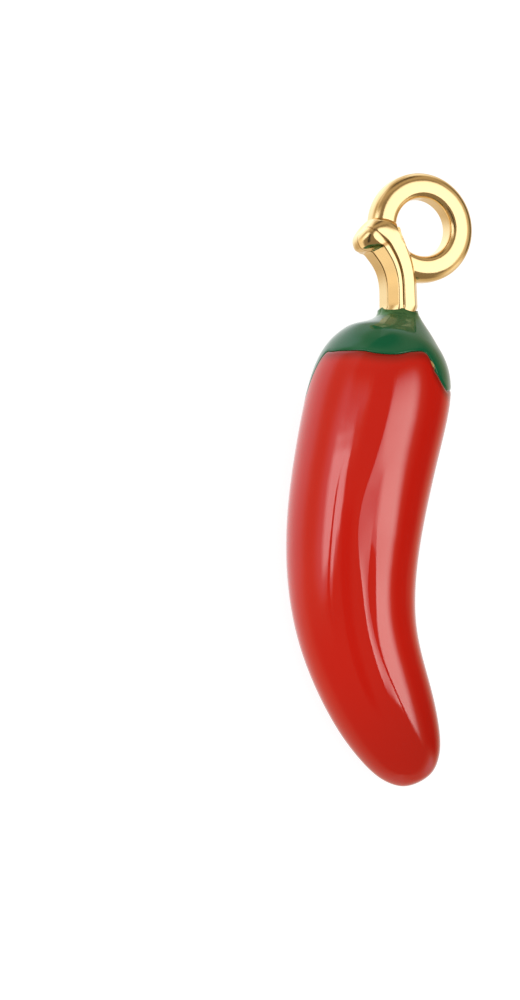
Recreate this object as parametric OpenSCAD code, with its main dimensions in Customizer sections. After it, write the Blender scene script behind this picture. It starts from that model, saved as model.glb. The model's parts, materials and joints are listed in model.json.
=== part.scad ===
/* [Pepper body] */
// Girth of the pepper below its neck, as a share of the drawn one
body_girth = 1.0; // [0.9:0.05:1.1]
// Sideways bend of the pepper, as a share of the drawn one
body_bend = 1.0; // [0:0.1:1.3]
// Thickness of the enamel coat over the metal, mm
enamel_t = 0.35; // [0.2:0.05:0.5]
// Depth of the soft lengthwise creases in the red coat, as a share of the radius
crease_depth = 0.02; // [0:0.005:0.04]

/* [Green crown] */
// Length of the crown's lobes, as a share of the drawn ones
lobe_length = 1.0; // [0:0.1:1.2]
// Height of the green collar's rise in the flutes of the stalk, mm
collar_rise = 0.1; // [0:0.02:0.14]

/* [Stalk] */
// Girth of the stalk above the collar, as a share of the drawn one
stalk_girth = 1.0; // [0.95:0.01:1.05]
// Depth of the five flutes, as a share of the stalk's radius
flute_depth = 0.15; // [0:0.01:0.2]

/* [Loop] */
// Radius of the hole, mm
hole_r = 1.0; // [0.8:0.05:1.05]
// Outer radius of the loop, mm
loop_r = 1.865; // [1.7:0.005:2.1]
// Thickness of the loop along the hole, mm
loop_t = 0.92; // [0.7:0.01:1.0]
// Rounding of the loop's outer edges, mm
loop_edge = 0.25; // [0.1:0.05:0.3]
// Rounding of the hole's edges, mm
hole_edge = 0.17; // [0.1:0.01:0.25]

/* [Fit] */
// Clear gap between two solids that lie on each other, mm
gap = 0.04; // [0.03:0.01:0.06]

/* [Rest on a table] */
// Depth by which the coat is levelled where the charm lies, mm
level = 0.06; // [0:0.02:0.1]
// Turn about the cross axis at which the charm lies, degrees
rest_pitch = 3.88; // [0:0.01:8]
// Turn about the long axis at which the charm lies, degrees
rest_roll = 9.61; // [0:0.01:20]

/* [Hidden] */

// Middle line of the pepper, every spine_step mm: [side, down]
spine_step = 2.8;
SPINE = [[0, 0], [-0.71, -2.7], [-1.36, -5.41], [-1.81, -8.14], [-1.69, -10.96], [-0.55, -13.52],
         [0.68, -15.75]];

// Outer surface of the enamel from the collar to the tip: [along, radius]
PROFILE = [[-0.34, 0.705], [-0.08, 0.7], [0.22, 0.97], [0.78, 1.7], [1.5, 2.22], [2.6, 2.48], [4.6, 2.43],
           [7.2, 2.35], [9.8, 2.17], [12.2, 1.93], [14.2, 1.76], [15.85, 1.36], [16.85, 0.95], [17.12, 0]];

// Edge between green and red, every scallop_step degrees round from the loop's side: along
scallop_step = 15;
SCALLOP = [1.6, 1.95, 2.15, 2.3, 2.03, 1.4, 1.51, 1.8, 1.93, 1.93, 1.98, 2.01,
           2.2, 3.65, 3.95, 3.1, 2.1, 1.6, 1.6, 2.2, 2.7, 2.2, 1.6, 1.45];
scallop_mean = 2.0;

// Soft creases of the red coat: [angle at the neck, angle at the tip, half width]
CREASES = [[128, 131, 15], [102, 96, 14]];
crease_from = 2.6;
crease_to = 15.5;
crease_fade = 2.2;

// Thickness of the green collar at its top
collar_t = 0.055;

// Stalk from the collar to its cut end: [side, up, tilt, half width, half depth, roundness, flute share]
STALK = [[0.02, 0.36, 0, 0.66, 0.65, 1, 0.9], [0.01, 0.75, 1, 0.65, 0.64, 0.8, 1],
         [0, 1.15, 5, 0.65, 0.64, 0.75, 1], [-0.06, 1.55, 10, 0.67, 0.64, 0.75, 1],
         [-0.2, 1.95, 17, 0.71, 0.65, 0.75, 1], [-0.4, 2.3, 23, 0.78, 0.66, 0.75, 1.1],
         [-0.5, 2.46, 25, 0.82, 0.66, 0.75, 1.2], [-0.65, 2.6, 27, 0.91, 0.7, 0.8, 1.5],
         [-0.74, 2.77, 28, 0.89, 0.72, 0.85, 1.8], [-0.81, 2.94, 30, 0.82, 0.68, 0.85, 1.7],
         [-0.88, 3.09, 31, 0.66, 0.56, 0.85, 1.4], [-0.9, 3.13, 31, 0.45, 0.4, 0.9, 1.2],
         [-0.88, 3.1, 31, 0.22, 0.2, 1, 1]];
// Angle of the first flute round the stalk, number of flutes and how square the ridges between them are
flute_at = 100;
flute_count = 5;
flute_power = 0.6;

loop_mid = [0.81, 3.15, 0];
// The stalk is cut back this much further than the hole's wall, and more the further out by this slope
stalk_clear = 0.02;
stalk_flare = 0.12;

// Points round a section and rows along; the metal's rows are closer at the neck
metal_turn = 40;
coat_turn = 60;
core_rows = 22;
core_crowding = 1.3;
stalk_rows = 26;
red_rows = 26;
red_inner_rows = 15;
green_rows = 11;
green_inner_rows = 12;

function smooth(x) = let (k = min(1, max(0, x))) k * k * (3 - 2 * k);
function unit(v) = v / norm(v);
function angle_off(a, b) = let (d = (a - b) % 360) d > 180 ? d - 360 : d < -180 ? d + 360 : d;

// Uniform cubic B-spline over rows; the ends are mirrored, so it starts at the first row and ends at the last
function spline(rows, t) =
    let (last = len(rows) - 1, c = min(max(t, 0), last), i = min(floor(c), last - 1), f = c - i,
         before = i > 0 ? rows[i - 1] : 2 * rows[0] - rows[1],
         after = i + 2 <= last ? rows[i + 2] : 2 * rows[last] - rows[last - 1])
    (pow(1 - f, 3) * before + (3 * pow(f, 3) - 6 * f * f + 4) * rows[i]
     + (-3 * pow(f, 3) + 3 * f * f + 3 * f + 1) * rows[i + 1] + pow(f, 3) * after) / 6;
function spline_slope(rows, t) =
    let (last = len(rows) - 1, d = 0.01, c = min(max(t, d), last - d))
    (spline(rows, c + d) - spline(rows, c - d)) / (2 * d);

// Middle line: straight up above the neck, along the rows below it, straight on past the last one
spine_end = spine_step * (len(SPINE) - 1);
function bent(p) = [p[0] * body_bend, p[1]];
function past_end(s) = max(0, s - spine_end) / spine_step * spline_slope(SPINE, len(SPINE) - 1);
function spine(s) = s < 0 ? [0, -s] : bent(spline(SPINE, s / spine_step) + past_end(s));
function spine_across(s) =
    let (d = bent(spline_slope(SPINE, s / spine_step)))
    unit([1, 0] + smooth((s + 0.25) / 1.1) * (unit([-d[1], d[0]]) - [1, 0]));

// Profile: outer surface, then the same moved inwards by the depth under it
profile_end = len(PROFILE) - 1;
function girth(s) = 1 + (body_girth - 1) * smooth((s + 0.2) / 1.5);
function coat(s) = collar_t + (enamel_t - collar_t) * smooth((s + 0.34) / 0.6);
function outer(t) = let (p = spline(PROFILE, t)) [p[0], p[1] * girth(p[0])];
function inner(t, depth) =
    let (at_tip = t >= profile_end, d = at_tip ? [0, -1] : unit(spline_slope(PROFILE, t)),
         q = outer(t) - depth * [-d[1], d[0]])
    [q[0], at_tip ? 0 : max(q[1], 0)];
// Row number at which the profile is a given distance along, by halving
function row_at(s, low = 0, high = profile_end, turns = 22) =
    turns == 0 ? (low + high) / 2
    : let (mid = (low + high) / 2)
      spline(PROFILE, mid)[0] < s ? row_at(s, mid, high, turns - 1) : row_at(s, low, mid, turns - 1);

function squared(x, power) = sign(x) * pow(abs(x), power);
function flute(a) = 1 - pow(abs(cos(flute_count / 2 * (a - flute_at - 180 / flute_count))), flute_power);
// The collar takes the stalk's flutes at the top and is round by the shoulder
function collar(s) = smooth((0.2 - s) / 0.5);

function crease_angle(row, s) =
    row[0] + (row[1] - row[0]) * smooth((s - crease_from) / (crease_to - crease_from));
function crease_run(s) = smooth((s - crease_from) / crease_fade) * smooth((crease_to - s) / crease_fade);
function crease(a, s) =
    crease_depth * crease_run(s) * max([for (row = CREASES)
        let (x = abs(angle_off(a, crease_angle(row, s))) / row[2]) x < 1 ? (1 - x) * (1 - x) : 0]);

// One point of a section: [side, up, front] at an angle round, counted from the loop's side to the front
function on_section(s, r, a, flutes) =
    let (p = spine(s), n = spine_across(s), k = r * (1 - flutes * collar(s) * flute_depth * flute(a)))
    [p[0] + k * cos(a) * n[0], p[1] + k * cos(a) * n[1], k * sin(a)];
function coat_point(t, a) = let (q = outer(t)) on_section(q[0], q[1] * (1 - crease(a, q[0])), a, 0.4);
function under_point(t, a, clear) =
    let (q = inner(t, coat(outer(t)[0]) - clear)) on_section(q[0], q[1], a, 0.9);

function wrap(rows, i) = rows[(i + len(rows)) % len(rows)];
function scallop(a) =
    let (x = a / scallop_step, i = floor(x), f = x - i,
         p = wrap(SCALLOP, i - 1), q = wrap(SCALLOP, i), r = wrap(SCALLOP, i + 1), s = wrap(SCALLOP, i + 2),
         edge = q + f * ((r - p) + f * ((2 * p - 5 * q + 4 * r - s) + f * (3 * q - 3 * r + s - p))) / 2)
    scallop_mean + (edge - scallop_mean) * lobe_length;
function collar_top(a) = row_at(PROFILE[0][0] + collar_rise * (1 - flute(a)));

function turn(a0, count) = [for (i = [0:count - 1]) a0 + 360 * i / count];
coat_angles = turn(0, coat_turn);
metal_angles = turn(flute_at, metal_turn);
red_from = [for (a = coat_angles) row_at(scallop(a % 360) + gap / 2)];
green_to = [for (a = coat_angles) row_at(scallop(a % 360) - gap / 2)];
green_from = [for (a = coat_angles) collar_top(a)];
all_coat = [for (i = [0:coat_turn - 1]) i];
function part_way(from, to, k) = from + (to - from) * k;

red_round = [for (j = [0:red_rows - 1]) [for (i = all_coat)
    coat_point(part_way(red_from[i], profile_end, j / red_rows), coat_angles[i])]];
red_in = [for (j = [0:red_inner_rows - 1]) [for (i = all_coat)
    under_point(part_way(red_from[i], profile_end, j / red_inner_rows), coat_angles[i], gap)]];
green_out = [for (j = [0:green_rows]) [for (i = all_coat)
    coat_point(part_way(green_from[i], green_to[i], j / green_rows), coat_angles[i])]];
green_in = [for (j = [0:green_inner_rows]) [for (i = all_coat)
    under_point(part_way(green_from[i], green_to[i], j / green_inner_rows), coat_angles[i], gap * 0.6)]];
core = [for (j = [1:core_rows]) [for (a = metal_angles)
    under_point(profile_end * pow(1 - j / core_rows, core_crowding), a, 0)]];
stalk = [for (j = [1:stalk_rows])
    let (row = spline(STALK, j / stalk_rows * (len(STALK) - 1)), c = cos(row[2]), s = sin(row[2]))
    [for (a = metal_angles)
        let (k = stalk_girth * (1 - flute_depth * row[6] * flute(a)), x = k * row[3] * squared(cos(a), row[5]))
        [row[0] + x * c, row[1] + x * s, k * row[4] * squared(sin(a), row[5])]]];

// Faces between rings of count points that go round one way, the outside of the solid to their right
function band(first, second, count) = [for (i = [0:count - 1]) let (n = (i + 1) % count)
    each [[first + i, second + i, second + n], [first + i, second + n, first + n]]];
function fan(pole, ring, count, up) = [for (i = [0:count - 1]) let (n = (i + 1) % count)
    up ? [pole, ring + i, ring + n] : [pole, ring + n, ring + i]];
function flat(lists) = [for (l = lists) each l];

// Directions of the table under the lying charm, as they stand to the upright one
cp = cos(rest_pitch);
sp = sin(rest_pitch);
cr = cos(rest_roll);
sr = sin(rest_roll);
to_right = [cr, sr * sp, sr * cp];
to_back = [0, cp, -sp];
to_top = [-sr, cr * sp, cr * cp];

// The coat is levelled a little where it lies, so the charm doesn't roll
table = level - max([for (p = flat(red_round)) -p * to_top]);
red_out = [for (ring = red_round) [for (p = ring) p + max(0, table - p * to_top) * to_top]];

// Where the finished charm reaches, so that the origin is the middle of its footprint on the table
skin = concat(flat(red_out), flat(green_out), flat(stalk), [coat_point(profile_end, 0)]);
function reach(d) = max(max([for (p = skin) p * d]), loop_mid * d + (loop_r - loop_edge) * norm([d[0], d[1]])
    + (loop_t / 2 - loop_edge) * abs(d[2]) + loop_edge);
middle_x = (reach(to_right) - reach(-to_right)) / 2;
middle_y = (reach(to_back) - reach(-to_back)) / 2;
lift = reach(-to_top);

module lying() {
    translate([-middle_x, -middle_y, lift]) rotate([rest_pitch, rest_roll, 0]) children();
}

// Gold-plated casting: the core under the enamel, the fluted stalk and the loop
module metal_body() {
    rings = concat(core, stalk);
    count = len(rings);
    tip = under_point(profile_end, 0, 0);
    end_row = STALK[len(STALK) - 1];
    points = concat(flat(rings), [tip, [end_row[0], end_row[1], 0]]);
    polyhedron(points, concat(
        flat([for (j = [0:count - 2]) band((j + 1) * metal_turn, j * metal_turn, metal_turn)]),
        fan(count * metal_turn, 0, metal_turn, false),
        fan(count * metal_turn + 1, (count - 1) * metal_turn, metal_turn, true)));
}
// What the hole takes off the stalk: narrowest in the middle of the loop, wider to both sides
module hole_room() {
    reach = 2 * loop_t;
    waist = hole_r + stalk_clear;
    mouth = waist + stalk_flare * reach;
    rotate_extrude($fn = 96) polygon([[0, -reach], [mouth, -reach], [waist, 0], [mouth, reach], [0, reach]]);
}
// Half of the loop's cut face with rounded corners: an outer bar, an inner bar and the middle between them
module loop_section() {
    split = (loop_r + hole_r) / 2;
    translate([hole_r, hole_edge - loop_t / 2]) square([split - hole_r, loop_t - 2 * hole_edge]);
    translate([split, loop_edge - loop_t / 2]) square([loop_r - split, loop_t - 2 * loop_edge]);
    translate([hole_r + hole_edge, -loop_t / 2]) square([loop_r - loop_edge - hole_r - hole_edge, loop_t]);
    for (side = [-1, 1]) {
        translate([hole_r + hole_edge, side * (loop_t / 2 - hole_edge)]) circle(hole_edge, $fn = 48);
        translate([loop_r - loop_edge, side * (loop_t / 2 - loop_edge)]) circle(loop_edge, $fn = 48);
    }
}
module casting() {
    color([0.93, 0.75, 0.36]) lying() {
        difference() {
            metal_body();
            translate(loop_mid) hole_room();
        }
        translate(loop_mid) rotate_extrude($fn = 96) loop_section();
    }
}

// Red coat from the scalloped edge to the tip, and the green crown with its collar
module red_enamel() {
    points = concat(flat(red_out), [coat_point(profile_end, 0)],
                    flat(red_in), [under_point(profile_end, 0, gap)]);
    start = red_rows * coat_turn + 1;
    color([0.72, 0.05, 0.04]) lying() polyhedron(points, concat(
        flat([for (j = [0:red_rows - 2]) band(j * coat_turn, (j + 1) * coat_turn, coat_turn)]),
        fan(start - 1, (red_rows - 1) * coat_turn, coat_turn, false),
        flat([for (j = [0:red_inner_rows - 2])
            band(start + (j + 1) * coat_turn, start + j * coat_turn, coat_turn)]),
        fan(len(points) - 1, start + (red_inner_rows - 1) * coat_turn, coat_turn, true),
        band(start, 0, coat_turn)));
}
module green_enamel() {
    points = concat(flat(green_out), flat(green_in));
    start = (green_rows + 1) * coat_turn;
    color([0.03, 0.27, 0.12]) lying() polyhedron(points, concat(
        flat([for (j = [0:green_rows - 1]) band(j * coat_turn, (j + 1) * coat_turn, coat_turn)]),
        flat([for (j = [0:green_inner_rows - 1])
            band(start + (j + 1) * coat_turn, start + j * coat_turn, coat_turn)]),
        band(start, 0, coat_turn),
        band(green_rows * coat_turn, start + green_inner_rows * coat_turn, coat_turn)));
}

casting();
red_enamel();
green_enamel();
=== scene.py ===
import json
import math

import bpy
import numpy as np
from mathutils import Matrix, Vector


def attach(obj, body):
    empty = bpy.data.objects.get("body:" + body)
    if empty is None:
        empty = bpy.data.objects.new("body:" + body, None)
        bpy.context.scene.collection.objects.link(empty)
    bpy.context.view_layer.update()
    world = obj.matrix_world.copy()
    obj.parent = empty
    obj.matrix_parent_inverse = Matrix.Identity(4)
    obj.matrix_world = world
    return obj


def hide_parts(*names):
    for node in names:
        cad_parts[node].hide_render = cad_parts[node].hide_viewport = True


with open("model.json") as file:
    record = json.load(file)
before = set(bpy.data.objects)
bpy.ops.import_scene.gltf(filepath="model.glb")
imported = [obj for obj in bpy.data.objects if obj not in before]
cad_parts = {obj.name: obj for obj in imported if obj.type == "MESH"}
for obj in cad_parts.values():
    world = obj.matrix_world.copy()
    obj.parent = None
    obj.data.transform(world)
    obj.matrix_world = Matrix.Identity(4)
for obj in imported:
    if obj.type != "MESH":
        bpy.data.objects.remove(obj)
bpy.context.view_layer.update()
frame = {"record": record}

# Gold-plated pepper charm with a red enamel coat, a green enamel crown and a round hanging loop.
# Every size is in millimetres on the upright charm, whose neck is at the origin: x to the loop's side, y up,
# z to the front. The trees below shape each piece there, and then lay it on the table in metres, where the
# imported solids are.

MM = 0.001

# How the charm lies: a turn about the cross axis, then one about the long axis
REST_PITCH = math.radians(3.88)
REST_ROLL = math.radians(9.61)
LYING = Matrix.Rotation(REST_ROLL, 3, "Y") @ Matrix.Rotation(REST_PITCH, 3, "X")

LOOP_MID = Vector((0.81, 3.15, 0.0))
HOLE_R = 1.0
LOOP_R = 1.885
LOOP_T = 0.92
# Rounding of the loop's outer edges and of the hole's edges
LOOP_EDGE = 0.36
HOLE_EDGE = 0.23
# The stalk is cut back by this much more than the hole, and further out by this slope
STALK_CLEAR = 0.02
STALK_FLARE = 0.12
NECK = Vector(frame["record"]["mounts"][0]["pos_m"]) - LYING @ LOOP_MID * MM

ENAMEL_T = 0.35
COLLAR_T = 0.055
COLLAR_RISE = 0.1
FLUTE_DEPTH = 0.15
GAP = 0.04
# The crown keeps this share of the gap from the metal
CROWN_GAP = 0.6
# Width and depth of a coat's rounded rim where two colours meet
RIM_WIDTH = 0.12
RIM_DEPTH = 0.02

# Middle line of the pepper, every SPINE_STEP: side, up
SPINE_STEP = 2.8
SPINE = [(0, 0), (-0.71, -2.7), (-1.36, -5.41), (-1.81, -8.14), (-1.69, -10.96), (-0.55, -13.52),
         (0.68, -15.75)]

# Outer surface of the enamel from the collar to the tip: along, radius
PROFILE = [(-0.34, 0.705), (-0.08, 0.7), (0.22, 0.97), (0.78, 1.7), (1.5, 2.22), (2.6, 2.48), (4.6, 2.43),
           (7.2, 2.35), (9.8, 2.17), (12.2, 1.93), (14.2, 1.76), (15.85, 1.36), (16.53, 1.0), (16.98, 0.54),
           (17.03, 0)]
TIP_ROW = len(PROFILE) - 1
# Stretches of the neck: where the coat grows to its full thickness, where the collar's flutes run out, and
# where the sections come to stand square to the middle line
COAT_GROWS = (-0.34, 0.26)
FLUTES_END = (-0.3, 0.2)
NECK_BENDS = (-0.25, 0.85)
# Share of the stalk's flute depth on the collar, and how much more of it the metal below has
COLLAR_FLUTES = 0.4
CORE_FLUTES = 0.5

# Edge between green and red, every SCALLOP_STEP round from the loop's side to the front: along
SCALLOP_STEP = math.radians(15)
SCALLOP = [1.6, 1.95, 2.15, 2.3, 2.03, 1.4, 1.51, 1.8, 1.93, 1.93, 1.98, 2.01,
           2.1, 3.3, 3.95, 3.1, 2.1, 1.6, 1.6, 2.2, 2.7, 2.2, 1.6, 1.45]

# The gold wall between the colours: where it shows beside the lobe on the loop's side, as angle and spread in
# degrees, the share of the coat by which it is sunk elsewhere, its half width there, and how much wider it is
# and how much further the red stands back where it shows
SEAM_SHOWS = (67, 4)
SEAM_SUNK = 0.45
SEAM_HALF = 0.012
SEAM_WIDER = 0.12
SEAM_ROOM = 0.13
# Half the height by which the collar's top edge slants, and the angle at which it is lowest
COLLAR_SLANT = 0.05
COLLAR_LOW_AT = math.radians(45)

# Flow creases of the red coat, every CREASE_STEP along from CREASE_FROM: angle of the bottom, width towards
# the loop's side and width away from it in degrees, depth, which is below 0 where the enamel is piled up
CREASE_FROM = 2.0
CREASE_STEP = 1.0
FOLD = [(90, 30, 11, 0), (89, 30, 12, 0.02), (88, 30, 13, 0.024), (90, 30, 12, 0.026), (96, 30, 9, 0.03),
        (97.5, 30, 12, 0.055), (95.5, 30, 15, 0.07), (96.5, 30, 11.5, 0.05), (99.5, 28, 5, 0.02),
        (99, 28, 6, 0.02), (99, 28, 6, 0.02), (97.5, 28, 8, 0.02), (96, 28, 9, 0)]
STEP = [(93, 40, 4, 0), (93, 40, 4, 0), (93, 40, 4, 0), (93, 40, 4, 0), (93, 40, 4, 0), (93, 40, 4, 0),
        (93, 40, 4, 0), (92, 40, 6, -0.035), (92.5, 40, 8, -0.05), (94.5, 40, 5, -0.025),
        (97.6, 40, 1.6, -0.009), (96, 40, 1.6, -0.009), (94, 40, 1.6, -0.006), (93, 40, 2, 0)]
SLIT = [(124.5, 1.4, 1.4, 0.002), (118, 1.4, 1.4, 0.001), (124, 2, 1.5, 0), (126.5, 3, 1.6, 0),
        (130, 3, 1.7, 0.004), (131, 3, 1.8, 0.012), (131.5, 3, 1.8, 0.015), (133, 3, 1.8, 0.014),
        (136, 3, 1.8, 0.01), (137, 3, 1.8, 0)]
# How round each crease's sides are: the rows, the power of the side towards the loop and its ease, and the
# power of the other side. A power of 1 is a straight flank, and 2 one that starts with a crisp edge and
# levels off at the bottom. A side with an ease of 2 runs out without an edge
CREASES = [(FOLD, 2.0, 2.0, 2.0), (STEP, 2.0, 1.0, 1.0), (SLIT, 1.0, 1.0, 1.0)]

# Stalk from the collar to its cut end: side, up, tilt in degrees, half width, half depth, roundness, and
# share of the flutes
STALK = [(0.02, 0.36, 0, 0.66, 0.65, 1, 0.9), (0.01, 0.75, 1, 0.65, 0.64, 0.8, 1),
         (0, 1.15, 5, 0.65, 0.64, 0.75, 1), (-0.06, 1.55, 10, 0.67, 0.64, 0.75, 1),
         (-0.2, 1.95, 17, 0.71, 0.65, 0.75, 1), (-0.4, 2.3, 25, 0.78, 0.66, 0.75, 1),
         (-0.5, 2.46, 28, 0.81, 0.66, 0.75, 1), (-0.56, 2.53, 32, 0.83, 0.66, 0.75, 0.8),
         (-0.61, 2.58, 34, 0.9, 0.67, 0.8, 0.6), (-0.72, 2.68, 35, 0.93, 0.69, 0.85, 0.5),
         (-0.88, 2.82, 39, 0.9, 0.7, 0.9, 0.4), (-1.08, 2.94, 44, 0.77, 0.69, 0.95, 0.3),
         (-1.24, 3.02, 49, 0.62, 0.58, 1, 0.2), (-1.3, 3.05, 51, 0.42, 0.4, 1, 0.1),
         (-1.28, 3.03, 51, 0.2, 0.2, 1, 0)]
STALK_END = len(STALK) - 1
FLUTE_AT = math.radians(100)
FLUTE_COUNT = 5
FLUTE_POWER = 0.6
# Corners of the carved faces between collar and knob, round from the loop's side to the front: side and
# front, as shares of the half width and half depth, and how deep in a groove the corner is, which sets its
# painted shade
FACES = [(0.99, -0.14, 0), (0.86, 0.5, 0), (0.53, 0.97, 0), (-0.05, 0.965, 0), (-0.09, 0.88, 1),
         (-0.15, 0.95, 0), (-0.37, 0.935, 0), (-0.69, 0.23, 0), (-0.665, 0.19, 1), (-0.72, 0.16, 0),
         (-0.775, -0.72, 0), (-0.42, -0.86, 0), (0.17, -0.98, 0), (0.6, -0.68, 0)]
# Rows of the stalk between which the faces set in, rows between which they fade, and by how much they fade
FACES_START = (-2.0, 0.3)
FACES_FADE = (7.0, 10.0)
FACES_FADE_BY = 0.85
# Size of the small flat on a face's corner, the most that it takes of a face, and the distance between points
FACE_EDGE = 0.035
FACE_EDGE_MOST = 0.35
FACE_POINT = 0.06
# The painted shade under the knob's overhanging rim, a dark line on the gold: rows between which it sets in
# and rows between which it ends, the side that its middle is on, and how far it reaches to both sides of that
UNDER_KNOB = [5.9, 6.6, 7.6, 8.3]
UNDER_KNOB_MID = -0.25
UNDER_KNOB_REACH = 0.2

# Rings along each pattern, points round the coats, and how much closer the coats' rings lie where the colours
# meet, and the core's at the neck
COAT_TURN = 360
RED_ROWS = 210
RED_INNER_ROWS = 24
GREEN_ROWS = 90
GREEN_INNER_ROWS = 16
STALK_ROWS = 240
CORE_ROWS = 60
ROW_CROWDING = 1.3
# The core starts under the collar, at this share of the way to the tip before crowding
CORE_START = 0.11
# Points round the coats lie closer at the creases: angle and spread in degrees, and how much closer
CROWD_AT = 109
CROWD_SPREAD = 25
CROWDING = 6.0
# Steps in which the round and the profile are searched, points round the loop, and points of a rounded edge
ANGLE_STEPS = 3600
PROFILE_STEPS = 8000
LOOP_TURN = 240
LOOP_EDGE_POINTS = 12
# Stands for the distance from the edge where no edge is near
NO_EDGE = 9
SHARP_EDGE = math.radians(42)

# Fine structure of the finishes: how many grains to a metre, in how many layers and, where it isn't half, how
# strong each finer layer is
GOLD_WAVES = (700.0, 2.0)
GOLD_GRAIN = (14000.0, 3.0, 0.6)
RED_FLOW = (420.0, 2.0)
GREEN_FLOW = (600.0, 2.0)
ENAMEL_SPECKS = (9000.0, 3.0, 0.6)
TABLE_MOTTLE = (60.0, 2.0)
# How far the waves and flow marks stand out, and the gold's grain, in metres
WAVE_HEIGHT = 0.00002
GRAIN_HEIGHT = 0.0000012
# Roughness of each finish, and what the gold's grain and the enamel's specks add to it
GOLD_ROUGH = 0.12
GRAIN_ROUGH = 0.1
RED_ROUGH = 0.05
GREEN_ROUGH = 0.06
SPECK_ROUGH = 0.06
TABLE_ROUGH = 0.9
ENAMEL_IOR = 1.5
# How far the gold in a groove turns to the colour of its painted shade
GROOVE_SHADE = 0.8
# Stretches along over which painted shade darkens the red towards the tip and the green thickens below the
# collar, and the stretch from its edge over which the painted shade along the red's edge by the green fades
# out
RED_DARKENS = (11.5, 16.5)
GREEN_THICKENS = (-0.1, 0.35)
EDGE_SHADE_FADES = (0.0, 0.45)
# How metallic the green is where it is thin
THIN_METAL = 0.5

# The photograph's view of the upright charm: degrees from its front to its left side, and degrees from below
VIEW_SIDE = math.radians(24)
VIEW_BELOW = math.radians(8)
# Middle of the picture as it lies from the neck, and the height of the picture
FRAME_RIGHT = -4.712
FRAME_UP = -6.214
FRAME_HEIGHT = 34.14
LENS = 800.0
SENSOR = 36.0

# Half the side of the table in metres, and how much light it gives of its own
TABLE_HALF = 1.5
TABLE_GLOW = 0.83
# Even light, which the polished pieces don't mirror: from all round, and how much more from the camera's side
# and from above it
EVEN_LIGHT = 0.62
EVEN_FRONT = 0.6
EVEN_ABOVE = 0.03
# Panels that single finishes mirror: finish, colour, degrees to the right and above, width and height in
# degrees, radiance, the shares of the panel over which its left, right, lower and upper edges fade, and how
# far up the lower edge starts at left and right
PANELS = {
    "right_streak": ("enamel", (1.0, 0.94, 0.86), 54, 8, 40, 44, 3.3, (0.2, 0.4, 0.06, 0.62), (0.2, 0.0)),
    "left_streak": ("enamel", (1.0, 1.0, 1.0), -41, 10, 34, 36, 2.6, (0.28, 0.06, 0.14, 0.06), (0.2, 0.58)),
    "gold_right": ("gold", (1.0, 0.85, 0.62), 90, 0, 44, 100, 0.35, (0.3, 0.3, 0.3, 0.3), (0.0, 0.0)),
    "gold_side": ("gold", (1.0, 0.92, 0.8), -78, -22, 56, 110, 0.6, (0.3, 0.3, 0.15, 0.6), (0.0, 0.0))}
# Metres from the charm to a panel, millimetres from the neck down to where it aims, and the power that gives
# a square metre of it a radiance of 1
PANEL_AWAY = 2.0
PANEL_AIM = 8.0
PANEL_POWER = 4.0


# Node trees written as sums

class Field:
    """A number on a node tree, reckoned with like a plain one."""

    def __init__(self, sketch, socket):
        self.sketch = sketch
        self.socket = socket

    def __add__(self, other):
        return self.sketch.math("ADD", self, other)

    def __sub__(self, other):
        return self.sketch.math("SUBTRACT", self, other)

    def __rsub__(self, other):
        return self.sketch.math("SUBTRACT", other, self)

    def __mul__(self, other):
        return self.sketch.math("MULTIPLY", self, other)

    def __truediv__(self, other):
        return self.sketch.math("DIVIDE", self, other)

    def __pow__(self, power):
        return self.sketch.math("POWER", self, power)

    def __abs__(self):
        return self.sketch.math("ABSOLUTE", self)

    def __neg__(self):
        return self.sketch.math("MULTIPLY", self, -1.0)

    __radd__ = __add__
    __rmul__ = __mul__


class Sketch:
    """A node tree being drawn up: numbers and fields go in, fields come out."""

    def __init__(self, tree):
        self.tree = tree

    def plug(self, socket, value):
        if isinstance(value, Field):
            value = value.socket
        if isinstance(value, bpy.types.NodeSocket):
            self.tree.links.new(value, socket)
        else:
            socket.default_value = value

    def node(self, kind, *given, sockets=None, **settings):
        made = self.tree.nodes.new(kind)
        for name, value in settings.items():
            setattr(made, name, value)
        for socket, value in zip(made.inputs, given):
            self.plug(socket, value)
        for name, value in (sockets or {}).items():
            self.plug(made.inputs[name], value)
        return made

    def math(self, way, *terms):
        return Field(self, self.node("ShaderNodeMath", *terms, operation=way).outputs[0])

    def ramp(self, value, start, end):
        """0 before start, 1 after end, and a smooth rise between them."""
        made = self.node("ShaderNodeMapRange", value, start, end, interpolation_type="SMOOTHSTEP")
        return Field(self, made.outputs[0])

    def point(self, x, y, z):
        return self.node("ShaderNodeCombineXYZ", x, y, z).outputs[0]

    def parts(self, vector):
        return [Field(self, socket) for socket in self.node("ShaderNodeSeparateXYZ", vector).outputs]

    def attribute(self, name):
        made = self.node("GeometryNodeInputNamedAttribute", name, data_type="FLOAT")
        return Field(self, made.outputs["Attribute"])

    def shown(self, name):
        """The same attribute where a material reads it."""
        return Field(self, self.node("ShaderNodeAttribute", attribute_name=name).outputs["Fac"])

    def mix(self, share, first, second):
        """A mix of two colours, which are the node's sockets 6 and 7."""
        made = self.tree.nodes.new("ShaderNodeMix")
        made.data_type = "RGBA"
        for place, value in ((0, share), (6, first), (7, second)):
            self.plug(made.inputs[place], value)
        return made.outputs[2]

    def noise(self, place, scale, detail=2.0, roughness=0.5):
        made = self.node("ShaderNodeTexNoise", sockets={
            "Vector": place, "Scale": scale, "Detail": detail, "Roughness": roughness})
        return Field(self, made.outputs[0])


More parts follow.
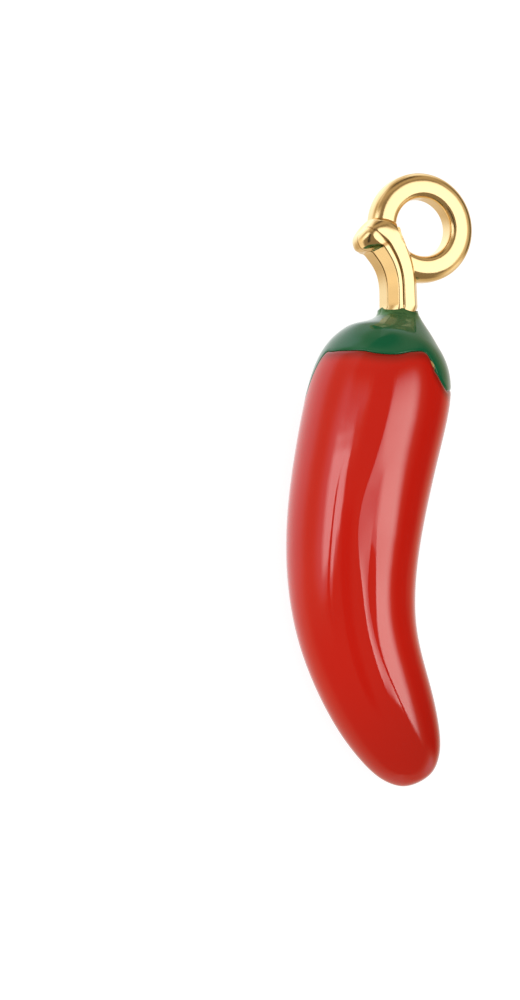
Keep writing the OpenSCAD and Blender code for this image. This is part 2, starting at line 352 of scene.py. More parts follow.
def new_tree(name, inputs, outputs):
    """A geometry tree with named inputs (name: start value, None for a geometry) and outputs."""
    tree = bpy.data.node_groups.new(name, "GeometryNodeTree")
    kinds = {type(None): "NodeSocketGeometry", float: "NodeSocketFloat",
             bpy.types.Material: "NodeSocketMaterial"}
    for title, start in inputs.items():
        socket = tree.interface.new_socket(title, in_out="INPUT", socket_type=kinds[type(start)])
        if start is not None:
            socket.default_value = start
    for title, kind in outputs.items():
        tree.interface.new_socket(title, in_out="OUTPUT", socket_type="NodeSocket" + kind)
    sketch = Sketch(tree)
    entry = tree.nodes.new("NodeGroupInput")
    given = {title: Field(sketch, entry.outputs[title]) if isinstance(start, float) else entry.outputs[title]
             for title, start in inputs.items()}
    return sketch, given


def finish_tree(sketch, *results):
    leave = sketch.tree.nodes.new("NodeGroupOutput")
    for socket, value in zip(leave.inputs, results):
        sketch.plug(socket, value)
    return sketch.tree


def row_share_group():
    """How much one row of a table counts so many steps away from it, on a smooth curve through the rows."""
    sketch, given = new_tree("row share", {"Steps": 0.0}, {"Share": "Float", "Slope": "Float"})
    steps = given["Steps"]
    wide = sketch.math("MAXIMUM", 2.0 - abs(steps), 0.0)
    close = sketch.math("MAXIMUM", 1.0 - abs(steps), 0.0)
    share = (wide ** 3.0 - close ** 3.0 * 4.0) / 6.0
    slope = sketch.math("SIGN", steps) * (close ** 2.0 * 4.0 - wide ** 2.0) / 2.0
    return finish_tree(sketch, share, slope)


ROW_SHARE = row_share_group()


def table_rows(rows):
    """The rows with one mirrored row before and after, so that the curve starts and ends on a row."""
    rows = np.array(rows, float)
    return np.vstack([2 * rows[0] - rows[1], rows, 2 * rows[-1] - rows[-2]])


def curve_through(sketch, rows, place):
    """Each column of a table at a place along it, and each column's slope there, as fields."""
    rows = table_rows(rows)
    columns = rows.shape[1]
    padded = np.hstack([rows, np.zeros((len(rows), -columns % 3))])
    sums = [[(0.0, 0.0, 0.0)] * (padded.shape[1] // 3) for _ in range(2)]
    for number, row in enumerate(padded):
        share = sketch.node("GeometryNodeGroup", place - float(number - 1), node_tree=ROW_SHARE)
        for way in range(2):
            for k, total in enumerate(sums[way]):
                three = tuple(row[3 * k:3 * k + 3])
                added = sketch.node("ShaderNodeVectorMath", three, share.outputs[way], total,
                                    operation="MULTIPLY_ADD")
                sums[way][k] = added.outputs[0]
    return [[part for total in totals for part in sketch.parts(total)][:columns] for totals in sums]


def flute_field(sketch, angle):
    """1 in the bottom of a flute of the stalk, 0 on the ridge between two."""
    turned = (angle - (FLUTE_AT + math.pi / FLUTE_COUNT)) * (FLUTE_COUNT / 2)
    return 1.0 - abs(sketch.math("COSINE", turned)) ** FLUTE_POWER


def crease_field(sketch, angle, along):
    """How deep the red coat's flow creases are, in millimetres."""
    in_all = 0.0
    for rows, near_power, near_ease, far_power in CREASES:
        row = (along - CREASE_FROM) / CREASE_STEP
        row = sketch.math("MINIMUM", sketch.math("MAXIMUM", row, 0.0), float(len(rows) - 1))
        (bottom, near, far, depth), _ = curve_through(sketch, rows, row)
        off = sketch.math("WRAP", angle * (180 / math.pi) - bottom, 180.0, -180.0)
        away = sketch.math("LESS_THAN", off, 0.0)
        near_side = sketch.math("MAXIMUM", 1.0 - abs(off / near) ** near_power, 0.0) ** near_ease * away
        far_side = sketch.math("MAXIMUM", 1.0 - abs(off / far) ** far_power, 0.0) * (1.0 - away)
        in_all = in_all + (near_side + far_side) * depth
    return in_all


def pepper_group():
    """Rolls a pattern round the pepper's middle line. Under is 0 on the enamel and 1 on the metal below."""
    sketch, given = new_tree("round the middle line", {
        "Row": 0.0, "Angle": 0.0, "Under": 0.0, "Rim": 0.0, "Enamel thickness": ENAMEL_T,
        "Collar thickness": COLLAR_T, "Clear gap": GAP, "Crease share": 1.0, "Flute depth": FLUTE_DEPTH},
        {"Position": "Vector", "Along": "Float"})
    angle = given["Angle"]
    under = given["Under"]
    (along, radius), (rise, spread) = curve_through(sketch, PROFILE, given["Row"])
    steep = sketch.math("SQRT", rise * rise + spread * spread)
    coat = (given["Collar thickness"]
            + (given["Enamel thickness"] - given["Collar thickness"]) * sketch.ramp(along, *COAT_GROWS))
    depth = under * (coat - given["Clear gap"]) + given["Rim"]
    crease = crease_field(sketch, angle, along) * given["Crease share"] * (1.0 - under)
    along = along + depth * spread / steep
    radius = sketch.math("MAXIMUM", radius - depth * rise / steep, 0.0)

    collar = 1.0 - sketch.ramp(along, *FLUTES_END)
    flute_share = (under * CORE_FLUTES + COLLAR_FLUTES) * collar
    flutes = flute_share * given["Flute depth"] * flute_field(sketch, angle)
    radius = (radius - crease) * (1.0 - flutes)

    last = len(SPINE) - 1
    steps = along / SPINE_STEP
    inside = sketch.math("MINIMUM", sketch.math("MAXIMUM", steps, 0.0), float(last))
    (side, up), (lean, fall) = curve_through(sketch, SPINE, inside)
    past = sketch.math("MAXIMUM", steps - float(last), 0.0)
    side = side + past * (SPINE[last][0] - SPINE[last - 1][0])
    up = up + past * (SPINE[last][1] - SPINE[last - 1][1]) + sketch.math("MAXIMUM", -along, 0.0)
    long = sketch.math("SQRT", lean * lean + fall * fall)
    bent = sketch.ramp(along, *NECK_BENDS)
    across_side = bent * (-fall / long - 1.0) + 1.0
    across_up = bent * (lean / long)
    wide = sketch.math("SQRT", across_side * across_side + across_up * across_up)
    out = radius * sketch.math("COSINE", angle) / wide
    place = sketch.point(side + out * across_side, up + out * across_up, radius * sketch.math("SINE", angle))
    return finish_tree(sketch, place, along)


PEPPER = pepper_group()


def lay_down(sketch, geometry, material):
    """Lays a piece on the table, levels what would reach below it, and gives it its material."""
    laid = sketch.node("GeometryNodeTransform", sockets={
        "Geometry": geometry, "Translation": tuple(NECK), "Rotation": (REST_PITCH, REST_ROLL, 0.0),
        "Scale": (MM, MM, MM)}).outputs[0]
    x, y, z = sketch.parts(sketch.node("GeometryNodeInputPosition").outputs[0])
    levelled = sketch.point(x, y, sketch.math("MAXIMUM", z, 0.0))
    laid = sketch.node("GeometryNodeSetPosition", sockets={"Geometry": laid, "Position": levelled}).outputs[0]
    whole = sketch.node("GeometryNodeRealizeInstances", sockets={"Geometry": laid}).outputs[0]
    ended = sketch.node("GeometryNodeSetMaterial", sockets={"Geometry": whole, "Material": material})
    return ended.outputs[0]


def keep_number(sketch, geometry, name, value, domain="POINT"):
    return sketch.node("GeometryNodeStoreNamedAttribute", data_type="FLOAT", domain=domain, sockets={
        "Geometry": geometry, "Name": name, "Value": value}).outputs[0]


def coat_tree():
    """Enamel coat from its flat pattern, with a rounded rim where two colours meet."""
    sketch, given = new_tree("enamel coat", {
        "Geometry": None, "Enamel thickness": ENAMEL_T, "Collar thickness": COLLAR_T, "Clear gap": GAP,
        "Crease share": 1.0, "Flute depth": FLUTE_DEPTH, "Rim width": RIM_WIDTH, "Rim depth": RIM_DEPTH,
        "Material": bpy.data.materials[0]}, {"Geometry": "Geometry"})
    under = sketch.attribute("under")
    rim = sketch.math("MAXIMUM", 1.0 - sketch.attribute("from_edge") / given["Rim width"], 0.0)
    sink = rim * rim * given["Rim depth"] * (1.0 - under)
    passed_on = ("Enamel thickness", "Collar thickness", "Clear gap", "Crease share", "Flute depth")
    rolled = sketch.node("GeometryNodeGroup", node_tree=PEPPER, sockets={
        "Row": sketch.attribute("row"), "Angle": sketch.attribute("angle"), "Under": under, "Rim": sink,
        **{name: given[name] for name in passed_on}})
    shape = sketch.node("GeometryNodeSetPosition", sockets={
        "Geometry": given["Geometry"], "Position": rolled.outputs["Position"]}).outputs[0]
    shape = keep_number(sketch, shape, "along", rolled.outputs["Along"])
    return finish_tree(sketch, lay_down(sketch, shape, given["Material"]))


def stalk_point(sketch, row, angle, flute_depth):
    """A point of the carved stalk, which bends over to its cut end."""
    (side, up, tilt, half_width, half_depth, roundness, flute_share), _ = curve_through(sketch, STALK, row)
    ribs = 1.0 - flute_depth * flute_share * flute_field(sketch, angle)
    cosine = sketch.math("COSINE", angle)
    sine = sketch.math("SINE", angle)
    across = ribs * sketch.math("SIGN", cosine) * abs(cosine) ** roundness
    front = ribs * sketch.math("SIGN", sine) * abs(sine) ** roundness
    carved = sketch.ramp(row, *FACES_START) * (1.0 - sketch.ramp(row, *FACES_FADE) * FACES_FADE_BY)
    across = (across + (sketch.attribute("face_side") - across) * carved) * half_width
    front = (front + (sketch.attribute("face_front") - front) * carved) * half_depth
    tilt = tilt * (math.pi / 180)
    return sketch.point(side + across * sketch.math("COSINE", tilt), up + across * sketch.math("SINE", tilt),
                        front)


def swept_loop(sketch, given):
    """The loop: a bar with rounded edges, swept round the hole."""
    # The bar's section has its inner side to the left, where the edges are rounded less
    wide = given["Loop radius"] - given["Hole radius"]
    bar = sketch.node("GeometryNodeCurvePrimitiveQuadrilateral", sockets={
        "Width": wide, "Height": given["Loop thickness"]}).outputs[0]
    bar_x = sketch.parts(sketch.node("GeometryNodeInputPosition").outputs[0])[0]
    outer_side = sketch.math("GREATER_THAN", bar_x, 0.0)
    edge = given["Hole edge"] + (given["Loop edge"] - given["Hole edge"]) * outer_side
    bar = sketch.node("GeometryNodeFilletCurve", mode="POLY", sockets={
        "Curve": bar, "Count": LOOP_EDGE_POINTS, "Radius": edge}).outputs[0]
    ring = sketch.node("GeometryNodeCurvePrimitiveCircle", sockets={
        "Resolution": LOOP_TURN, "Radius": given["Hole radius"] + wide / 2.0}).outputs[0]
    loop = sketch.node("GeometryNodeCurveToMesh", sockets={"Curve": ring, "Profile Curve": bar}).outputs[0]
    return sketch.node("GeometryNodeTransform", sockets={
        "Geometry": loop, "Translation": tuple(LOOP_MID)}).outputs[0]


def hole_room(sketch, given):
    """What the hole takes off the stalk: two cones, narrowest where they meet in the middle of the loop."""
    reach = given["Loop thickness"] * 2.0
    waist = given["Hole radius"] + given["Stalk clearance"]
    sides = []
    for turn in (0.0, math.pi):
        cone = sketch.node("GeometryNodeMeshCone", sockets={
            "Vertices": LOOP_TURN, "Radius Bottom": waist,
            "Radius Top": waist + given["Stalk flare"] * reach, "Depth": reach}).outputs[0]
        sides.append(sketch.node("GeometryNodeTransform", sockets={
            "Geometry": cone, "Translation": tuple(LOOP_MID), "Rotation": (turn, 0.0, 0.0)}).outputs[0])
    return sides


def casting_tree():
    """Core and fluted stalk from their flat pattern, cut clear of the hole and joined to the swept loop."""
    sketch, given = new_tree("gold casting", {
        "Geometry": None, "Enamel thickness": ENAMEL_T, "Collar thickness": COLLAR_T,
        "Flute depth": FLUTE_DEPTH, "Hole radius": HOLE_R, "Loop radius": LOOP_R, "Loop thickness": LOOP_T,
        "Loop edge": LOOP_EDGE, "Hole edge": HOLE_EDGE, "Stalk clearance": STALK_CLEAR,
        "Stalk flare": STALK_FLARE, "Material": bpy.data.materials[0]}, {"Geometry": "Geometry"})
    row, angle, is_stalk = (sketch.attribute(name) for name in ("row", "angle", "stalk"))
    core = sketch.node("GeometryNodeGroup", node_tree=PEPPER, sockets={
        "Row": row, "Angle": angle, "Under": 1.0, "Clear gap": 0.0, "Crease share": 0.0,
        **{name: given[name] for name in ("Enamel thickness", "Collar thickness", "Flute depth")}})
    place = sketch.node("GeometryNodeSwitch", is_stalk, core.outputs["Position"],
                        stalk_point(sketch, row, angle, given["Flute depth"]), input_type="VECTOR").outputs[0]
    body = sketch.node("GeometryNodeSetPosition", sockets={
        "Geometry": given["Geometry"], "Position": place}).outputs[0]
    # The groove mask carries painted shade: the gold darkens in its grooves and under the knob
    body = keep_number(sketch, body, "groove", sketch.attribute("in_groove") * is_stalk, "FACE")

    loop = swept_loop(sketch, given)
    for room in hole_room(sketch, given):
        cut = sketch.node("GeometryNodeMeshBoolean", operation="DIFFERENCE", solver="EXACT")
        sketch.plug(cut.inputs[0], body)
        sketch.plug(cut.inputs[1], room)
        body = cut.outputs[0]
    joined = sketch.node("GeometryNodeMeshBoolean", operation="UNION", solver="EXACT")
    sketch.plug(joined.inputs[1], body)
    sketch.plug(joined.inputs[1], loop)
    return finish_tree(sketch, lay_down(sketch, joined.outputs[0], given["Material"]))


# Flat patterns: rings of points that only carry their place in the tables

def curve_numbers(rows, place):
    """The same curve through a table as the trees use, on plain numbers."""
    rows = table_rows(rows)
    place = np.clip(np.asarray(place, float), 0, len(rows) - 3)
    first = np.minimum(place.astype(int), len(rows) - 4)
    f = (place - first)[..., None]
    return ((1 - f) ** 3 * rows[first] + (3 * f ** 3 - 6 * f * f + 4) * rows[first + 1]
            + (3 * f + 3 * f * f - 3 * f ** 3 + 1) * rows[first + 2] + f ** 3 * rows[first + 3]) / 6


def row_at(along):
    """Row number of the profile at a distance along."""
    rows = np.linspace(0, TIP_ROW, PROFILE_STEPS + 1)
    return np.interp(along, curve_numbers(PROFILE, rows)[:, 0], rows)


def scallop(angle):
    """Distance along at which the green ends and the red starts."""
    x = angle / SCALLOP_STEP
    i = np.floor(x).astype(int)
    f = x - i
    p, q, r, s = (np.array(SCALLOP)[(i + k) % len(SCALLOP)] for k in (-1, 0, 1, 2))
    return q + f * ((r - p) + f * ((2 * p - 5 * q + 4 * r - s) + f * (3 * q - 3 * r + s - p))) / 2


def pattern(name, rings, start=None, end=None):
    """A skin over rings in their order, closed by a point at each end, or onto itself if none is given."""
    count = len(rings[0]["angle"])
    ends = [{key: np.array([value], float) for key, value in point.items()}
            for point in (start, end) if point]
    total = len(rings) * count
    quads = []
    for j in range(len(rings) if not ends else len(rings) - 1):
        a = j * count
        b = (j + 1) % len(rings) * count
        for i in range(count):
            n = (i + 1) % count
            quads.append((a + i, a + n, b + n, b + i))
    if ends:
        last = (len(rings) - 1) * count
        quads += [(total, (i + 1) % count, i) for i in range(count)]
        quads += [(total + 1, last + i, last + (i + 1) % count) for i in range(count)]
    mesh = bpy.data.meshes.new(name)
    mesh.from_pydata([(0.0, 0.0, 0.0)] * (total + len(ends)), [], quads)
    for key in rings[0]:
        values = np.concatenate([np.broadcast_to(part[key], part["angle"].shape) for part in rings + ends])
        mesh.attributes.new(key, "FLOAT", "POINT").data.foreach_set("value", values.astype(np.float32))
    return mesh


def made_by(name, mesh, tree, material, **sizes):
    """A piece with the plain mesh that a tree makes of a pattern, with the tree's named inputs set first."""
    piece = bpy.data.objects.new(name, mesh)
    bpy.context.scene.collection.objects.link(piece)
    shaping = piece.modifiers.new("shape", "NODES")
    shaping.node_group = tree
    inputs = {item.name: item.identifier for item in tree.interface.items_tree if item.in_out == "INPUT"}
    shaping[inputs["Material"]] = material
    for title, value in sizes.items():
        shaping[inputs[title.replace("_", " ")]] = value
    bpy.context.view_layer.update()
    shaped = piece.evaluated_get(bpy.context.evaluated_depsgraph_get())
    result = bpy.data.meshes.new_from_object(shaped)
    piece.modifiers.remove(shaping)
    piece.data = result
    result.name = name
    bpy.data.meshes.remove(mesh)
    return piece


def crowded_angles():
    """Angles all round that lie closer together in front, where the creases are."""
    around = np.linspace(0, 360, ANGLE_STEPS + 1)
    thick = 1 + CROWDING * np.exp(-((around - CROWD_AT) / CROWD_SPREAD) ** 2)
    total = np.concatenate([[0], np.cumsum(thick[1:])])
    return np.radians(np.interp(np.arange(COAT_TURN) * total[-1] / COAT_TURN, total, around))


def carved_faces():
    """The stalk's section once round: side, front and share of groove, which sets the painted groove shade,
    with a small flat on each corner.
    """
    corners = np.array(FACES, float)
    points = []
    for k, corner in enumerate(corners):
        before = corners[k - 1] - corner
        after = corners[(k + 1) % len(corners)] - corner
        length = np.hypot(*after[:2])
        edge = min(FACE_EDGE / length, FACE_EDGE_MOST)
        start = corner + before * min(FACE_EDGE / np.hypot(*before[:2]), FACE_EDGE_MOST)
        leave = corner + after * edge
        end = corner + after * (1 - edge)
        points += [start, (start + leave + 2 * corner) / 4, leave]
        inner = max(int(length / FACE_POINT), 1)
        points += [leave + (end - leave) * j / inner for j in range(1, inner)]
    return np.array(points)


coat_angles = crowded_angles()
faces = carved_faces()
metal_angles = np.unwrap(np.arctan2(faces[:, 1], faces[:, 0]))


def coat_rings(top, bottom, shares, under, edge):
    """Rings of a coat at shares of the way from its top row to its bottom row."""
    rings = []
    for share in shares:
        row = top + (bottom - top) * share
        away = np.abs(curve_numbers(PROFILE, row)[:, 0] - edge)
        rings.append({"angle": coat_angles, "row": row, "under": under, "from_edge": away})
    return rings


def flute_numbers(angle):
    """The same as flute_field, on plain numbers."""
    return 1 - np.abs(np.cos((angle - FLUTE_AT - math.pi / FLUTE_COUNT) * FLUTE_COUNT / 2)) ** FLUTE_POWER


def seam_shows():
    """Where the wall between the colours comes up to the surface: 1, and 0 where it is sunk."""
    middle, spread = SEAM_SHOWS
    return np.exp(-((np.degrees(coat_angles) - middle) / spread) ** 2)


def red_pattern():
    edge = scallop(coat_angles) + GAP / 2 + SEAM_ROOM * seam_shows()
    top = row_at(edge)
    tip = {"angle": 0, "row": TIP_ROW, "from_edge": NO_EDGE}
    shares = (np.arange(RED_ROWS) / RED_ROWS) ** ROW_CROWDING
    inner_shares = (np.arange(RED_INNER_ROWS) / RED_INNER_ROWS)[::-1]
    inner = coat_rings(top, TIP_ROW, inner_shares, 1, edge)
    return pattern("red pattern", inner + coat_rings(top, TIP_ROW, shares, 0, edge),
                   {**tip, "under": 1}, {**tip, "under": 0})


def green_pattern():
    edge = scallop(coat_angles) - GAP / 2
    bottom = row_at(edge)
    low_side = COLLAR_SLANT * (1 + np.cos(coat_angles - COLLAR_LOW_AT))
    top = row_at(PROFILE[0][0] + COLLAR_RISE * (1 - flute_numbers(coat_angles)) + low_side)
    shares = 1 - (1 - np.arange(GREEN_ROWS + 1) / GREEN_ROWS) ** ROW_CROWDING
    inner_shares = (np.arange(GREEN_INNER_ROWS + 1) / GREEN_INNER_ROWS)[::-1]
    outer = coat_rings(top, bottom, shares, 0, edge)
    return pattern("green pattern", outer + coat_rings(top, bottom, inner_shares, 1, edge))


def seam_pattern():
    """Thin wall from the core up through the gap between the colours."""
    shows = seam_shows()
    sink = SEAM_SUNK * (1 - shows)
    above = scallop(coat_angles) - SEAM_HALF
    below = scallop(coat_angles) + SEAM_HALF + SEAM_WIDER * shows
    corners = [(above, 1.0), (above, sink), (below, sink), (below, 1.0)]
    rings = [{"angle": coat_angles, "row": row_at(edge), "under": under, "from_edge": NO_EDGE}
             for edge, under in corners]
    return pattern("seam pattern", rings)


def casting_pattern():
    once_round = {"angle": metal_angles, "face_side": faces[:, 0], "face_front": faces[:, 1],
                  "in_groove": faces[:, 2]}
    # Painted shade under the knob's overhang, on the points near its middle, joins the grooves' painted shade
    near_knob_shade = np.abs(faces[:, 0] - UNDER_KNOB_MID) < UNDER_KNOB_REACH
    stalk = []
    for row in np.linspace(STALK_END, 0, STALK_ROWS):
        under_knob = np.interp(row, UNDER_KNOB, [0, 1, 1, 0]) * near_knob_shade
        in_groove = np.maximum(faces[:, 2], under_knob)
        stalk.append({**once_round, "row": row, "stalk": 1, "in_groove": in_groove})
    core_rows = TIP_ROW * np.linspace(CORE_START, 1, CORE_ROWS, endpoint=False) ** ROW_CROWDING
    core = [{**once_round, "row": row, "stalk": 0} for row in core_rows]
    end = {"angle": 0, "face_side": 0, "face_front": 0, "in_groove": 0}
    return pattern("casting pattern", stalk + core,
                   {**end, "row": STALK_END, "stalk": 1}, {**end, "row": TIP_ROW, "stalk": 0})


# Finishes

def new_finish(name):
    finish = bpy.data.materials.new(name)
    finish.use_nodes = True
    sketch = Sketch(finish.node_tree)
    surface = next(node for node in finish.node_tree.nodes if node.type == "BSDF_PRINCIPLED")
    place = sketch.node("ShaderNodeTexCoord").outputs["Object"]
    return finish, sketch, surface, place


def set_surface(sketch, surface, **values):
    for title, value in values.items():
        sketch.plug(surface.inputs[title.replace("_", " ")], value)


def bumps(sketch, height, distance, under=None):
    made = sketch.node("ShaderNodeBump", sockets={"Height": height, "Distance": distance, "Strength": 1.0})
    if under is not None:
        sketch.plug(made.inputs["Normal"], under)
    return made.outputs[0]


def gold_plate():
    """Bright polished gold plating: soft waves, fine polishing grain, and painted shade that darkens it in
    the grooves and under the knob.
    """
    deep = (0.97, 0.72, 0.36, 1)
    light = (0.99, 0.76, 0.40, 1)
    # Painted shade: the dark brown that the gold takes on in its grooves and under the knob
    shaded = (0.36, 0.17, 0.04, 1)
    finish, sketch, surface, place = new_finish("gold_plate")
    waves = sketch.noise(place, *GOLD_WAVES)
    grain = sketch.noise(place, *GOLD_GRAIN)
    # Painted shade in the grooves and under the knob
    colour = sketch.mix(sketch.shown("groove") * GROOVE_SHADE, sketch.mix(waves, deep, light), shaded)
    set_surface(sketch, surface, Base_Color=colour, Metallic=1.0, Roughness=grain * GRAIN_ROUGH + GOLD_ROUGH,
                Normal=bumps(sketch, grain, GRAIN_HEIGHT, bumps(sketch, waves, WAVE_HEIGHT)))
    return finish


def red_enamel():
    """Thick glossy soft enamel with faint flow marks, and painted shade that darkens it towards the tip and
    along its edge by the green.
    """
    deep = (0.53, 0.009, 0.0034, 1)
    light = (0.57, 0.012, 0.0048, 1)
    # Painted shade: the darker red towards the tip, and the darker red along the edge by the green
    shaded_tip = (0.44, 0.009, 0.0036, 1)
    shaded_edge = (0.27, 0.008, 0.003, 1)
    finish, sketch, surface, place = new_finish("red_enamel")
    flow = sketch.noise(place, *RED_FLOW)
    speck = sketch.noise(place, *ENAMEL_SPECKS)
    colour = sketch.mix(flow, deep, light)
    # Painted shade towards the tip
    colour = sketch.mix(sketch.ramp(sketch.shown("along"), *RED_DARKENS), colour, shaded_tip)
    # Painted shade along the edge where the red meets the green
    colour = sketch.mix(sketch.ramp(sketch.shown("from_edge"), *EDGE_SHADE_FADES), shaded_edge, colour)
    set_surface(sketch, surface, Base_Color=colour, Roughness=speck * SPECK_ROUGH + RED_ROUGH, IOR=ENAMEL_IOR,
                Normal=bumps(sketch, flow, WAVE_HEIGHT))
    return finish


def green_enamel():
    """The same enamel in green, thin and see-through over the metal at the collar."""
    deep = (0.004, 0.096, 0.036, 1)
    light = (0.006, 0.110, 0.042, 1)
    over_metal = (0.07, 0.18, 0.06, 1)
    finish, sketch, surface, place = new_finish("green_enamel")
    flow = sketch.noise(place, *GREEN_FLOW)
    speck = sketch.noise(place, *ENAMEL_SPECKS)
    thin = 1.0 - sketch.ramp(sketch.shown("along"), *GREEN_THICKENS)
    colour = sketch.mix(thin, sketch.mix(flow, deep, light), over_metal)
    set_surface(sketch, surface, Base_Color=colour, Metallic=thin * THIN_METAL,
                Roughness=speck * SPECK_ROUGH + GREEN_ROUGH, IOR=ENAMEL_IOR,
                Normal=bumps(sketch, flow, WAVE_HEIGHT))
    return finish


GOLD = gold_plate()
RED = red_enamel()
GREEN = green_enamel()

# Pieces

casting = made_by("gold_casting", casting_pattern(), casting_tree(), GOLD)
coat = coat_tree()
red = made_by("red_coat", red_pattern(), coat, RED)
green = made_by("green_crown", green_pattern(), coat, GREEN, Crease_share=0.0, Clear_gap=GAP * CROWN_GAP)
seam = made_by("gold_seam", seam_pattern(), coat, GOLD)
for piece in (casting, red, green, seam):
    piece.data.shade_smooth()
for piece in (casting, seam):
    piece.data.set_sharp_from_angle(angle=SHARP_EDGE)

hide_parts("casting")
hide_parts("red_enamel")
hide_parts("green_enamel")
SLOTS = ((casting, "gold_plate"), (seam, "gold_plate"), (red, "red_enamel"), (green, "green_enamel"))
for piece, slot in SLOTS:
    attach(piece, "root")

# Table, light and camera

RIGHT = LYING @ Vector((math.cos(VIEW_SIDE), 0, math.sin(VIEW_SIDE)))
UP = LYING @ Vector((-math.sin(VIEW_SIDE) * math.sin(VIEW_BELOW), math.cos(VIEW_BELOW),
                     math.cos(VIEW_SIDE) * math.sin(VIEW_BELOW)))
TOWARDS = RIGHT.cross(UP)


def table():
    """A white table, which the polished pieces don't mirror."""
    grey = (0.30, 0.30, 0.30, 1)
    pale = (0.32, 0.32, 0.32, 1)
    glow = (1.0, 1.0, 1.0, 1.0)
    mesh = bpy.data.meshes.new("table")
    ways = ((-1, -1), (1, -1), (1, 1), (-1, 1))
    corners = [(side * TABLE_HALF, end * TABLE_HALF, 0) for side, end in ways]
    mesh.from_pydata(corners, [], [(0, 1, 2, 3)])
    plate = bpy.data.objects.new("table", mesh)
    bpy.context.scene.collection.objects.link(plate)
    finish, sketch, surface, place = new_finish("table_white")
    mottle = sketch.noise(place, *TABLE_MOTTLE)
    set_surface(sketch, surface, Base_Color=sketch.mix(mottle, grey, pale), Roughness=TABLE_ROUGH,
                Emission_Color=glow, Emission_Strength=TABLE_GLOW)
    mesh.materials.append(finish)
    plate.visible_glossy = False
    return plate


def facing(turn, height):
    """Direction that lies so many degrees to the right of the camera's side of the charm and above it."""
    turn = math.radians(turn)
    height = math.radians(height)
    return (RIGHT * math.sin(turn) * math.cos(height) + UP * math.sin(height)
            + TOWARDS * math.cos(turn) * math.cos(height))


def placed(spot, across, above, towards):
    """The matrix of a light or camera at a spot, with its three axes."""
    return Matrix.Translation(spot) @ Matrix((across, above, towards)).transposed().to_4x4()


def studio():
    """A white tent with soft panels, as polished pieces mirror it, and even light for the rest."""
    warm = (1.0, 0.77, 0.5, 1)
    white = (1.0, 1.0, 1.0, 1)
    world = bpy.data.worlds.new("studio")
    world.use_nodes = True
    world.node_tree.nodes.clear()
    sketch = Sketch(world.node_tree)
    gaze = sketch.node("ShaderNodeTexCoord").outputs["Generated"]

    def share(axis):
        along_axis = sketch.node("ShaderNodeVectorMath", gaze, tuple(axis), operation="DOT_PRODUCT")
        return Field(sketch, along_axis.outputs["Value"])

    degrees = 180 / math.pi
    turn = sketch.math("ARCTAN2", share(RIGHT), share(TOWARDS)) * degrees
    height = sketch.math("ARCSINE", share(UP)) * degrees

    def band(value, start, end, soft_start, soft_end):
        return (sketch.ramp(value, start - soft_start, start + soft_start)
                * (1.0 - sketch.ramp(value, end - soft_end, end + soft_end)))

    # Where each part of the tent is, in degrees to the right of the camera's side and above it
    right_panel = (band(turn, 27.5, 70.0, 1.5, 12.0) * (1.0 - sketch.ramp(height, 16.0, 36.0))
                   * sketch.ramp(height + (turn - 30.0) * 0.24, -6.0, -2.0))
    left_panel = (band(-turn, 26.0, 60.0, 3.0, 20.0)
                  * band(height, -4.0, 27.0, 12.0, 3.0) * sketch.ramp(height - turn * 0.5, 18.0, 28.0))
    top_glow = band(height, 26.0, 34.0, 4.0, 9.0) * band(turn, -60.0, -10.0, 16.0, 8.0)
    skirt = sketch.ramp(-turn, 40.0, 56.0) * sketch.ramp(height, -24.0, 4.0)
    left_wall = ((sketch.ramp(-turn, 84.0, 108.0) * 0.4 + sketch.ramp(-turn, 90.0, 150.0) * 0.38)
                 * (1.0 - sketch.ramp(height - turn * 0.4, 90.0, 114.0) * 0.85))
    right_wall = sketch.ramp(turn, 118.0, 160.0) * 0.62 * (1.0 - sketch.ramp(-height, 8.0, 30.0) * 0.5)
    low_right = (sketch.ramp(turn, 80.0, 115.0) * (1.0 - sketch.ramp(turn, 118.0, 150.0) * 0.7)
                 * sketch.ramp(-height, 8.0, 24.0) * (1.0 - sketch.ramp(-height, 30.0, 55.0) * 0.5) * 0.7)
    ceiling = sketch.ramp(height, 34.0, 55.0) * (1.0 - sketch.ramp(height, 60.0, 76.0))
    dark_gap = band(turn, -20.0, -2.0, 3.0, 6.0) * band(height, -26.0, 18.0, 6.0, 4.0)
    dark_side = band(turn, 84.0, 124.0, 8.0, 10.0) * band(height, -12.0, 40.0, 8.0, 20.0)
    # How bright each part is, and the dim light of the tent between them
    glow = (right_panel * 1.3 + left_panel * 1.1 + top_glow * 0.85 + skirt * 0.3
            + left_wall * (0.62 + sketch.ramp(height, -10.0, 30.0) * 0.4) + right_wall + low_right
            + ceiling * 0.24 + (0.24 - sketch.ramp(height, 58.0, 76.0) * 0.12) * (1.0 - dark_gap * 0.9)
            * (1.0 - dark_side * 0.8))

    mirrored = Field(sketch, sketch.node("ShaderNodeLightPath").outputs["Is Glossy Ray"])
    even = share(TOWARDS) * EVEN_FRONT + share(UP) * EVEN_ABOVE + EVEN_LIGHT
    # What the dim parts of the tent give back has been thrown about between polished pieces, and is warm
    plain = mirrored * (sketch.ramp(glow, 0.45, 1.1) - 1.0) + 1.0
    colour = sketch.mix(plain, warm, white)
    light = sketch.node("ShaderNodeBackground", colour, mirrored * glow + (1.0 - mirrored) * even)
    out = sketch.node("ShaderNodeOutputWorld")
    sketch.tree.links.new(light.outputs[0], out.inputs["Surface"])
    bpy.context.scene.world = world


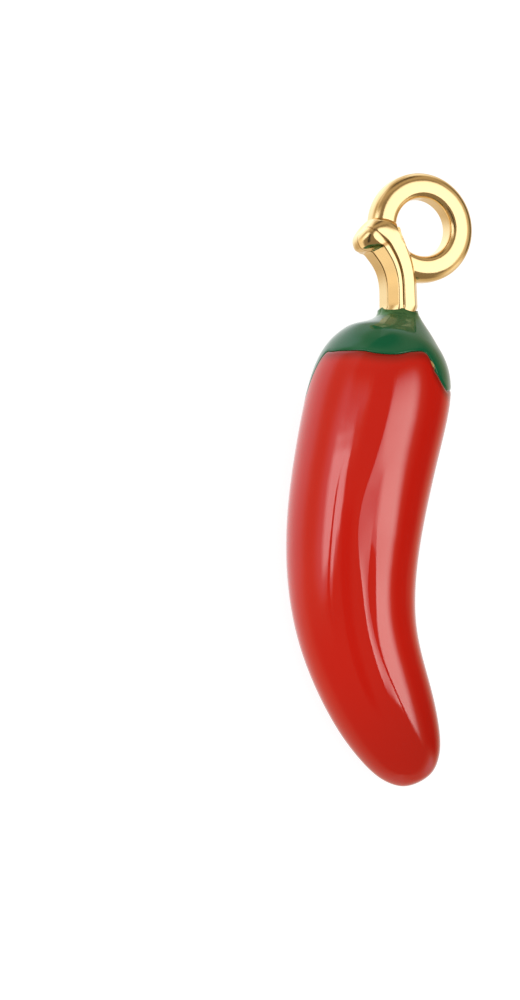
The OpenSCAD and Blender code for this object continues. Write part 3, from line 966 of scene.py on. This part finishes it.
def light_panel(name, lit, colour, turn, height, wide, tall, radiance, fades, starts):
    """A soft panel that only the lit pieces mirror."""
    data = bpy.data.lights.new(name, "AREA")
    data.shape = "RECTANGLE"
    data.size = 2 * PANEL_AWAY * math.tan(math.radians(wide / 2))
    data.size_y = 2 * PANEL_AWAY * math.tan(math.radians(tall / 2))
    data.energy = PANEL_POWER * data.size * data.size_y * radiance
    data.color = colour
    data.use_nodes = True
    sketch = Sketch(data.node_tree)
    glow = next(node for node in data.node_tree.nodes if node.type == "EMISSION")
    x, y, _ = sketch.parts(sketch.node("ShaderNodeNewGeometry").outputs["Parametric"])
    left, right, low, high = fades
    above_start = y - starts[0] - x * (starts[1] - starts[0])
    sketch.plug(glow.inputs["Strength"], sketch.ramp(x, 0.0, left) * sketch.ramp(1.0 - x, 0.0, right)
                * sketch.ramp(above_start, 0.0, low) * sketch.ramp(1.0 - y, 0.0, high))
    towards = facing(turn, height)
    across = facing(turn + 90, 0)
    above = towards.cross(across).normalized()
    across = above.cross(towards)
    panel = bpy.data.objects.new(name, data)
    panel.matrix_world = placed(NECK - UP * (PANEL_AIM * MM) + towards * PANEL_AWAY, across, above, towards)
    panel.visible_diffuse = False
    panel.visible_camera = False
    bpy.context.scene.collection.objects.link(panel)
    panel.light_linking.receiver_collection = lit


def camera():
    data = bpy.data.cameras.new("camera")
    data.lens = LENS
    data.sensor_fit = "VERTICAL"
    data.sensor_height = SENSOR
    data.dof.use_dof = False
    aim = NECK + (RIGHT * FRAME_RIGHT + UP * FRAME_UP) * MM
    away = FRAME_HEIGHT * MM * LENS / SENSOR
    data.clip_start = away / 10
    data.clip_end = away * 10
    view = bpy.data.objects.new("camera", data)
    view.matrix_world = placed(aim + TOWARDS * away, RIGHT, UP, TOWARDS)
    bpy.context.scene.collection.objects.link(view)
    bpy.context.scene.camera = view


table()
studio()
camera()
lit_pieces = {}
for finish, pieces in (("enamel", (red, green)), ("gold", (casting, seam))):
    lit_pieces[finish] = bpy.data.collections.new(finish)
    for piece in pieces:
        lit_pieces[finish].objects.link(piece)
for title, (finish, *sizes) in PANELS.items():
    light_panel(title, lit_pieces[finish], *sizes)
bpy.context.scene.view_settings.view_transform = "Standard"
